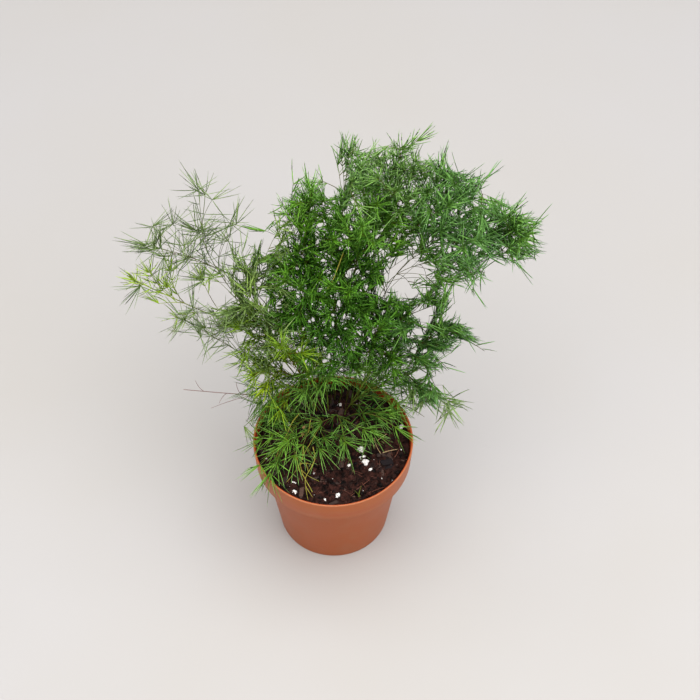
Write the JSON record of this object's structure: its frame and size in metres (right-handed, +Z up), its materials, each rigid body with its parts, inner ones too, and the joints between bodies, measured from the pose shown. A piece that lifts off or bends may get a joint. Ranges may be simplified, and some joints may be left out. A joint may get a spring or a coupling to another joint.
{
  "type": "potted sprengeri fern",
  "caption": "Young sprengeri fern with arching needle-leaved fronds, rooted in soil in a round plastic nursery pot that stands on its flat base.",
  "frame": {"origin": "centre of the pot's base, where it rests", "axes": "+Z up; +X to the right and +Y away from a viewer in front of the plant; the tall fronds lean towards +Y"},
  "size_m": [0.3044, 0.1861, 0.3157],
  "materials": {
    "pot": "satin",
    "soil": "matte",
    "deep_green": "satin",
    "mid_green": "satin",
    "grey_green": "satin",
    "fresh_green": "satin",
    "twig": "matte",
    "dry": "matte"
  },
  "bodies": {
    "root": {"pot": "pot", "soil": "soil", "frond_left_mid": "mid_green", "frond_left_inner": "mid_green", "frond_back_left": "mid_green", "frond_top_left": "mid_green", "frond_top": "mid_green", "frond_top_right": "mid_green", "frond_high_mid": "mid_green", "frond_front_left": "mid_green", "frond_front_mid": "mid_green", "frond_front_right": "mid_green", "frond_right_high": "deep_green", "frond_right": "deep_green", "frond_right_under": "deep_green", "frond_right_mid": "deep_green", "frond_right_low": "deep_green", "frond_centre_left": "deep_green", "frond_centre": "deep_green", "frond_centre_right": "deep_green", "frond_low_back": "deep_green", "frond_low_right": "deep_green", "frond_left_high": "grey_green", "frond_left": "grey_green", "frond_left_low": "grey_green", "frond_right_droop": "grey_green", "frond_far_left": "grey_green", "frond_left_tips": "fresh_green", "frond_front_inner": "fresh_green", "bare_twig": "twig", "dry_sprig": "dry"}
  },
  "joints": []
}
